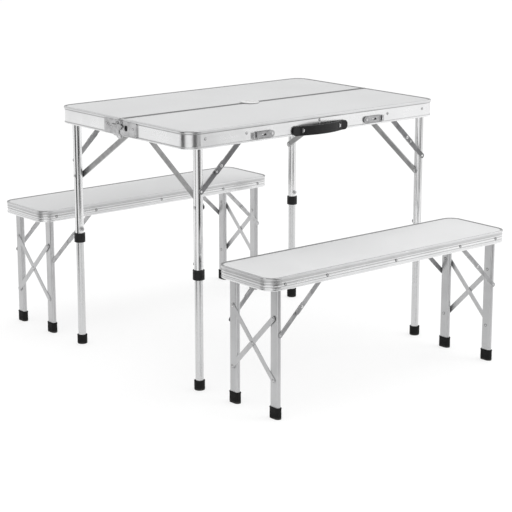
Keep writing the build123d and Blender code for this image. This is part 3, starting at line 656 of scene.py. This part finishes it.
# end rims round the two mounting eyes
for sx in (-1, 1):
    pts = []
    for k in range(28):
        a = 2 * math.pi * k / 28
        pts.append(Vector((sx * 66 + 5.0 * math.cos(a), 0, TH - 35 + math.sin(a) * 5.0 + (5.2 if math.sin(a) > 0 else -5.2))))
    loops = []
    for k in range(28):
        p = pts[k].copy()
        p.y = handle_y(p.x, 0.0)
        t = (pts[(k + 1) % 28] - pts[k - 1]).normalized()
        side = t.cross(Vector((0, 1, 0)))
        loops.append([tuple(p + (side * math.cos(2 * math.pi * j / 8) + Vector((0, 1, 0)) * math.sin(2 * math.pi * j / 8)) * 0.7)
                      for j in range(8)])
    beads.loft(loops, cyclic=True)
beads.make("handle_beads", M["handle"], "front_half", "handle")

# bright escutcheon plates of the handle's loops, on the strap
loops_b = Build()
for sx in (-1, 1):
    y = handle_y(66.0)
    loops_b.slab((sx * 66, y - 2.0, TH - 34), (0, 0, 1), (-1, 0, 0), (3.9, 1.7), -0.2, 0.9, 0.5)
loops_b.make("handle_loop_ends", M["rivet"], "front_half", "fittings")

# ---------------------------------------------------------------- latches and levers
for sx, sd in ((-1, "left"), (1, "right")):
    b = Build()
    y = YF - 2.9 - 1.7
    for dz in (-7.6, 7.6):
        b.tube([(sx * 181, y, TH - 31 + dz), (sx * 219, y, TH - 31 + dz)], 0.65, 8)
    # raised lip round the strap's slot
    pts = []
    for k in range(20):
        a = 2 * math.pi * k / 20
        c, q = math.cos(a), math.sin(a)
        pts.append(Vector((sx * (172 + 28.6) + 3.1 * c + (5.5 if c > 0 else -5.5), y, TH - 31 + 3.1 * q)))
    loops = []
    for k in range(20):
        t = (pts[(k + 1) % 20] - pts[k - 1]).normalized()
        side = t.cross(Vector((0, 1, 0)))
        loops.append([tuple(pts[k] + (side * math.cos(2 * math.pi * j / 8) + Vector((0, 1, 0)) * math.sin(2 * math.pi * j / 8)) * 0.5)
                      for j in range(8)])
    b.loft(loops, cyclic=True)
    b.make("latch_" + sd + "_beads", M["latch"], "latch_" + sd, "latch")

    g = Build()
    xo = sx * (TL / 2 + 3.8 + 1.7)
    # rolled thumb loop and a pressed rib on the lever's arm
    zt = TH - 23.5
    for (y0, z0, y1, z1) in ((-9.2, 20.2, -9.2, 6.5), (11.2, 20.2, 11.2, 6.5), (-9.2, 18.9, 11.2, 18.9)):
        g.tube([(xo - sx * 0.2, y0, zt + z0), (xo - sx * 0.2, y1, zt + z1)], 0.55, 8, (1, 0, 0))
    g.tube([(xo - sx * 0.2, -1, zt), (xo - sx * 0.2, 24, zt)], 0.6, 8)
    g.make("lock_lever_" + sd + "_rib", M["lever"], "lock_lever_" + sd, "lever")

# ---------------------------------------------------------------- umbrella cap
cap = Build()
cap.lathe([(0, 2.05), (5.0, 2.1), (6.0, 2.4), (9.0, 2.4), (10.0, 1.9), (17.0, 1.9), (18.0, 2.4), (24.2, 2.4),
           (25.8, 2.15), (26.7, 1.5), (27.0, 0.7), (26.8, 0.1), (26.2, 0.0), (19.4, 0.0), (19.4, -8.2), (19.75, -9.0),
           (19.75, -9.9), (19.0, -12.0), (17.6, -12.0), (17.6, -0.4), (0, -0.4)], (0, 0, TH + 0.3), (0, 0, 1), 64)
# finger notch bars under the rim of the cap
for k in range(18):
    a = 2 * math.pi * k / 18
    d = Vector((math.cos(a), math.sin(a), 0))
    cap.slab(Vector((0, 0, TH + 0.3)) + d * 21.0, d, Vector((0, 0, 1)).cross(d), (2.0, 0.45), 2.0, 2.4, 0.1)
pc = cap.make("umbrella_cap_moulding", M["cap"], "umbrella_cap", "cap")
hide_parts("umbrella_cap")

# ---------------------------------------------------------------- table legs
for nm, (sx, sy) in LEGS.items():
    x, y = sx * LEG_X, sy * LEG_Y
    leg, low = nm + "_leg", nm + "_lower_tube"
    # collar beads and grip ribs
    c = Build()
    for z0, z1 in ((303.6, 306.8), (326.2, 329.4)):
        c.ring([(15.0, z0), (15.85, z0 + 0.4), (15.95, (z0 + z1) / 2), (15.85, z1 - 0.4), (15.0, z1)], (x, y, 0), (0, 0, 1), 40)
    for k in range(30):
        a = 2 * math.pi * k / 30
        d = Vector((math.cos(a), math.sin(a), 0))
        c.slab(Vector((x, y, 316.5)) + d * 15.4, (0, 0, 1), d.cross(Vector((0, 0, 1))) * -1.0, (8.4, 0.45), -0.3, 0.34, 0.15)
    # flange of the button's grommet
    yb = y - sy * (TUBE_R + 1.6)
    # moulded plug in the top of the tube
    c.lathe([(0, -6), (11.25, -6), (11.25, 0.0), (12.3, 0.05), (12.3, 1.2), (11.4, 1.9), (7.0, 2.3), (0, 2.5)],
            (x, y, LEG_Z + 9.0), (0, 0, 1), 32)
    c.make(nm + "_collar_ribs", M["black"], leg, "collar")
    # rivets of the side brace
    hd, cr = Build(), Build()
    hd.ring([(4.3, -0.4), (4.3, 0.3), (5.2, 0.55), (6.6, 0.3), (6.9, -0.5)], (x, yb, BUTTON_Z), (0, -sy, 0), 28)
    xi = x - sx * (TUBE_R + 3.0)
    rivet(hd, cr, (xi, y, LEG_Z - 170), (-sx, 0, 0), 4.0, 1.6, 24)
    rivet(hd, cr, (x + sx * (TUBE_R - 0.25), y, LEG_Z - 170), (sx, 0, 0), 3.6, 1.6, 24)
    hd.make(nm + "_leg_rivets", M["rivet"], leg, "fittings")
    cr.make(nm + "_leg_mandrels_and_shade_rings", M["mandrel"], leg, "fittings")
    # button face: small dimple ring
    bt = Build()
    bt.ring([(1.2, -0.3), (1.3, 0.16), (1.9, 0.22), (2.3, 0.10), (2.4, -0.3)], (x, y - sy * (TUBE_R + 4.0), BUTTON_Z), (0, -sy, 0), 20)
    bt.make(nm + "_button_ring", M["button"], nm + "_snap_button", "button")
    # foot: top bead, grip rings
    f = Build()
    f.ring([(13.9, 24.2), (14.75, 24.6), (14.9, 25.6), (14.6, 26.6), (13.9, 26.8)], (x, y, 0), (0, 0, 1), 40)
    for z in (5.0, 8.6, 12.2, 15.8, 19.4):
        f.ring([(14.0, z - 0.8), (14.62, z - 0.4), (14.62, z + 0.4), (14.0, z + 0.8)], (x, y, 0), (0, 0, 1), 40)
    f.make(nm + "_foot_rings", M["rubber"], low, "foot")
    # internal end cap at the top of the sliding tube
    t = Build()
    t.lathe([(0, -4), (9.7, -4), (9.7, 0), (10.9, 0.05), (10.9, 1.4), (10.2, 2.0), (0, 2.0)], (x, y, 375), (0, 0, 1), 28)
    t.make(nm + "_lower_tube_plug", M["black"], low, "collar")
    # folding brace rivets
    s_, d_ = math.hypot(BA, BB), BB - BA
    lo_len = (s_ - d_) / 2
    p1 = (x, LEG_Z - BA)
    pp = (x - sx * BB, LEG_Z)
    ux, uz = (pp[0] - p1[0]) / s_, (pp[1] - p1[1]) / s_
    yo = y + sy * TUBE_R
    hd, cr = Build(), Build()
    mid = (p1[0] + ux * lo_len, p1[1] + uz * lo_len)
    lap = (mid[0] - ux * 20, mid[1] - uz * 20)
    rivet(hd, cr, (mid[0], yo + sy * 4.6, mid[1]), (0, sy, 0), 4.2, 0.8, 24)
    rivet(hd, cr, (lap[0], yo + sy * 4.6, lap[1]), (0, sy, 0), 2.8, 0.7)
    hd.make(nm + "_brace_rivets", M["rivet"], nm + "_brace_upper", "fittings")
    cr.make(nm + "_brace_mandrels", M["mandrel"], nm + "_brace_upper", "fittings")

# ---------------------------------------------------------------- benches
def ridge(cx, cy, a, b, r, section, seg=14):
    """Closed bead round a rounded rectangle: section is a closed polygon of (outward, z)."""
    loops = []
    for qx, qy, a0 in ((1, 1, 0), (-1, 1, 90), (-1, -1, 180), (1, -1, 270)):
        for k in range(seg + 1):
            t = math.radians(a0 + 90.0 * k / seg)
            n = (math.cos(t), math.sin(t))
            p = (cx + qx * (a - r) + n[0] * r, cy + qy * (b - r) + n[1] * r)
            loops.append([(p[0] + n[0] * o, p[1] + n[1] * o, z) for o, z in section])
    return Build().loft(loops, cyclic=True)


for bn, (cx, cy) in BENCHES.items():
    # raised rib along the middle of the bench's extrusion
    zr = BH - 19.9
    ridge(cx, cy, 432.0, 108.0, 38.0,
          [(-0.5, zr - 2.4), (0.35, zr - 2.2), (0.85, zr - 1.5), (0.95, zr), (0.85, zr + 1.5), (0.35, zr + 2.2),
           (-0.5, zr + 2.4)]).make(bn + "_rim_rib", M[bn + "_rim"], bn, "rim")
    head, core, pins = Build(), Build(), Build()
    for sy in (-1, 1):
        for x in (-382, -242, 0, 242, 382):
            rivet(head, core, (cx + x, cy + sy * 108.0, BH - 19), (0, sy, 0), 2.6, 1.3, 20, 0.95)
    for sx in (-1, 1):
        x = cx + sx * BLX
        for sy in (-1, 1):
            peened(pins, (x, cy + sy * 100.0, BLZ), (0, sy, 0), 5.4, 1.6, 24)
            pins.lathe([(0, -0.5), (5.6, -0.5), (5.6, 0.4), (4.8, 0.8), (0, 0.8)],
                       (cx + sx * (BLX - BBB), cy + sy * 106.8, BLZ), (0, -sy, 0), 24)
            for dx in (-7.5, 7.5):
                for dy in (-8, 8):
                    peened(pins, (x + dx, cy + sy * BLY + dy, BH - 6.6), (0, 0, -1), 2.2, 1.0, 16)
    head.make(bn + "_rivet_heads", M["rivet"], bn, "fittings")
    core.make(bn + "_rivet_mandrels_and_shade_rings", M["mandrel"], bn, "fittings")
    pins.make(bn + "_pin_heads", M["rivet"], bn, "fittings")
    for sx, sd in ((-1, "left"), (1, "right")):
        x = cx + sx * BLX
        legs = bn + "_" + sd + "_legs"
        plugs, boots, hd, cr = Build(), Build(), Build(), Build()
        uh, uc = Build(), Build()
        for sy in (-1, 1):
            y = cy + sy * BLY
            plugs.loft([stadium(x, y, 32, 14, -1.35, BLZ + 3), stadium(x, y, 32, 14, -1.35, BLZ + 8.0),
                        stadium(x, y, 32, 14, -0.15, BLZ + 8.05), stadium(x, y, 32, 14, -0.15, BLZ + 9.0),
                        stadium(x, y, 32, 14, -1.0, BLZ + 9.8)])
            for z0, z1, o in ((27.0, 29.8, 0.65), (4.2, 5.6, 0.35), (7.4, 8.8, 0.35), (10.6, 12.0, 0.35), (13.8, 15.2, 0.35)):
                zc = (z0 + z1) / 2
                boots.loft([stadium(x, y, 36.4, 18.4, -0.4, z0), stadium(x, y, 36.4, 18.4, o, z0 + 0.35),
                            stadium(x, y, 36.4, 18.4, o, z1 - 0.35), stadium(x, y, 36.4, 18.4, -0.4, z1)], cyclic=True)
            yo = y + sy * 16.0
            s_, d_ = math.hypot(BBA, BBB), BBB - BBA
            lo_len = (s_ - d_) / 2
            p1 = (x, BLZ - BBA)
            pp = (x - sx * BBB, BLZ)
            ux, uz = (pp[0] - p1[0]) / s_, (pp[1] - p1[1]) / s_
            mid = (p1[0] + ux * lo_len, p1[1] + uz * lo_len)
            rivet(uh, uc, (mid[0], yo + sy * 4.6, mid[1]), (0, sy, 0), 3.8, 1.0, 24)
            # rivets of the crossed bars
            xo = x + sx * 7.0
            rivet(hd, cr, (xo + sx * 1.8, y, 263 if sy > 0 else 101), (sx, 0, 0), 3.4, 1.0)
            rivet(hd, cr, (xo + sx * 3.6, y, 101 if sy > 0 else 263), (sx, 0, 0), 3.4, 1.0)
            # tails of those rivets on the legs' inner faces
            for z in (101, 263):
                peened(hd, (x - sx * 7.0, y, z), (-sx, 0, 0), 2.6, 1.0, 18)
                # dark ring round each tail, in the mandrel's dark steel: painted shade
                cr.ring([(2.5, -0.25), (2.5, 0.20), (3.7, 0.24), (4.1, 0.12), (4.2, -0.25)],
                        (x - sx * 7.0, y, z), (-sx, 0, 0), 18)
            # pin of the folding brace on the leg's edge
        rivet(hd, cr, (x + sx * (7.0 + 3.6), cy, 182), (sx, 0, 0), 3.8, 1.2, 24)
        peened(hd, (x + sx * 7.0, cy, 182), (-sx, 0, 0), 3.4, 0.9, 18)
        plugs.make(bn + "_" + sd + "_leg_plugs", M["black"], legs, "bench_foot")
        boots.make(bn + "_" + sd + "_boot_ribs", M["rubber"], legs, "bench_foot")
        hd.make(bn + "_" + sd + "_cross_rivets", M["rivet"], legs, "fittings")
        cr.make(bn + "_" + sd + "_cross_mandrels", M["mandrel"], legs, "fittings")
        uh.make(bn + "_" + sd + "_brace_rivets", M["rivet"], bn + "_" + sd + "_brace_upper", "fittings")
        uc.make(bn + "_" + sd + "_brace_mandrels", M["mandrel"], bn + "_" + sd + "_brace_upper", "fittings")


# ================================================================ stage
def floor_disc(radius):
    me = bpy.data.meshes.new("floor")
    bm = bmesh.new()
    bmesh.ops.create_circle(bm, cap_ends=True, cap_tris=False, segments=96, radius=radius)
    for v in bm.verts:
        v.co.z = -0.0004
    bm.to_mesh(me)
    bm.free()
    ob = bpy.data.objects.new("floor", me)
    bpy.context.scene.collection.objects.link(ob)
    m = Mat("floor_pale")
    g = m.span(m.noise(1.6, (1, 1, 1), 3.0, 0.5), 0.3, 0.7, 0.985, 1.0)
    m.set(base_color=m.mix(1.0, (0.27, 0.27, 0.27), m.grey(g), "MULTIPLY"), roughness=0.85)
    m.b.inputs["Specular IOR Level"].default_value = 0.1
    m.b.inputs["Emission Color"].default_value = (1, 1, 1, 1)
    m.b.inputs["Emission Strength"].default_value = 0.72
    me.materials.append(m.m)
    return ob


floor_disc(26.0)

world = bpy.data.worlds.new("studio")
bpy.context.scene.world = world
world.use_nodes = True
nt = world.node_tree
nt.nodes.clear()
out = nt.nodes.new("ShaderNodeOutputWorld")
bg = nt.nodes.new("ShaderNodeBackground")
nt.links.new(bg.outputs[0], out.inputs[0])
tc = nt.nodes.new("ShaderNodeTexCoord")
dot = nt.nodes.new("ShaderNodeVectorMath")
dot.operation = "DOT_PRODUCT"
nt.links.new(tc.outputs["Generated"], dot.inputs[0])
dot.inputs[1].default_value = Vector((0.60, -0.62, 0.50)).normalized()
rng = nt.nodes.new("ShaderNodeMapRange")
rng.interpolation_type = "SMOOTHSTEP"
nt.links.new(dot.outputs["Value"], rng.inputs[0])
for i, v in ((1, -0.7), (2, 0.8), (3, 0.62), (4, 1.22)):
    rng.inputs[i].default_value = v
lp = nt.nodes.new("ShaderNodeLightPath")
mx = nt.nodes.new("ShaderNodeMix")
mx.data_type = "FLOAT"
nt.links.new(lp.outputs["Is Camera Ray"], mx.inputs[0])
nt.links.new(rng.outputs[0], mx.inputs[2])
mx.inputs[3].default_value = 1.0
nt.links.new(mx.outputs[0], bg.inputs["Strength"])
bg.inputs["Color"].default_value = (1, 1, 1, 1)


def area(name, at, to, size, power, shape="RECTANGLE", size_y=None, seen=True):
    li = bpy.data.lights.new(name, "AREA")
    li.shape = shape
    li.size = size
    if size_y:
        li.size_y = size_y
    li.energy = power
    ob = bpy.data.objects.new(name, li)
    bpy.context.scene.collection.objects.link(ob)
    ob.location = at
    ob.rotation_euler = (Vector(to) - Vector(at)).to_track_quat("-Z", "Y").to_euler()
    ob.visible_glossy = seen
    return ob


area("key_softbox", (2.6, -2.9, 3.4), (0.1, 0.0, 0.5), 2.6, 46, "RECTANGLE", 2.2, False)
area("top_softbox", (-0.4, 0.3, 4.6), (0.0, 0.0, 0.0), 3.6, 40, "RECTANGLE", 3.0)


def flag(name, at, width, height, tone, core=0.3, lift=0.0):
    """Tall studio flag that only shows as a soft dark band in the metal."""
    me = bpy.data.meshes.new(name)
    bm = bmesh.new()
    c = Vector(at)
    d = Vector((-c.x, -c.y, 0)).normalized()
    u = Vector((-d.y, d.x, 0))
    vs = [bm.verts.new(c + u * a * width / 2 + Vector((0, 0, lift + b * height))) for a, b in ((-1, 0), (1, 0), (1, 1), (-1, 1))]
    bm.faces.new(vs)
    bm.to_mesh(me)
    bm.free()
    ob = bpy.data.objects.new(name, me)
    bpy.context.scene.collection.objects.link(ob)
    dress(ob, name, c, u, width, tone, core)


def dress(ob, name, c, u, width, tone, core):
    """Dark along the card's middle line, fading to the studio's white at its sides."""
    m = Mat(name)
    n = m.nt.nodes.new("ShaderNodeVectorMath")
    n.operation = "DOT_PRODUCT"
    m.nt.links.new(m.co, n.inputs[0])
    n.inputs[1].default_value = u
    off = m.math("ABSOLUTE", m.math("SUBTRACT", n.outputs["Value"], c.dot(u)))
    m.set(base_color=(0.0, 0.0, 0.0), roughness=1.0,
          emission_color=m.grey(m.span(off, core * width / 2, width / 2, tone, 0.97)))
    m.b.inputs["Emission Strength"].default_value = 1.0
    m.b.inputs["Specular IOR Level"].default_value = 0.0
    ob.data.materials.append(m.m)
    ob.visible_camera = False
    ob.visible_diffuse = False
    ob.visible_shadow = False
    ob.visible_transmission = False


def floor_card(name, a, b, width, tone, core):
    """The same on the floor, from a to b, for the tubes' downward reflections."""
    a, b = Vector((*a, 0.0003)), Vector((*b, 0.0003))
    u = (b - a).normalized().cross(Vector((0, 0, 1)))
    me = bpy.data.meshes.new(name)
    bm = bmesh.new()
    bm.faces.new([bm.verts.new(p) for p in (a + u * width / 2, b + u * width / 2, b - u * width / 2, a - u * width / 2)])
    bm.to_mesh(me)
    bm.free()
    ob = bpy.data.objects.new(name, me)
    bpy.context.scene.collection.objects.link(ob)
    dress(ob, name, a, u, width, tone, core)


flag("flag_left", (-2.08, 0.16, 0.001), 1.60, 2.4, 0.04, 0.42)
flag("flag_front", (-0.72, -2.18, 0.001), 1.70, 2.4, 0.02, 0.52)
flag("flag_side", (0.58, -2.26, 0.001), 1.10, 2.4, 0.22, 0.30)
floor_card("card_front", (-0.45, -1.40), (-0.62, -3.3), 1.75, 0.02, 0.56)
floor_card("card_left", (-1.30, 0.02), (-3.3, 0.62), 1.30, 0.04, 0.50)
flag("flag_far", (2.6, 3.1, 0.001), 7.5, 2.0, 0.55, 0.85)

# ================================================================ camera
CAM = Vector((-3014.2464, -3655.1517, 1422.3441)) * MM
YAW, PITCH = 0.6934, 0.2426
cam = bpy.data.cameras.new("camera")
cam.lens = 1679.9487 / 512 * 36.0
cam.sensor_width = 36.0
cam.clip_start, cam.clip_end = 0.05, 200
co = bpy.data.objects.new("camera", cam)
bpy.context.scene.collection.objects.link(co)
co.location = CAM
look = Vector((math.sin(YAW) * math.cos(PITCH), math.cos(YAW) * math.cos(PITCH), -math.sin(PITCH)))
co.rotation_euler = look.to_track_quat("-Z", "Y").to_euler()
bpy.context.scene.camera = co
bpy.context.scene.view_settings.view_transform = "Standard"
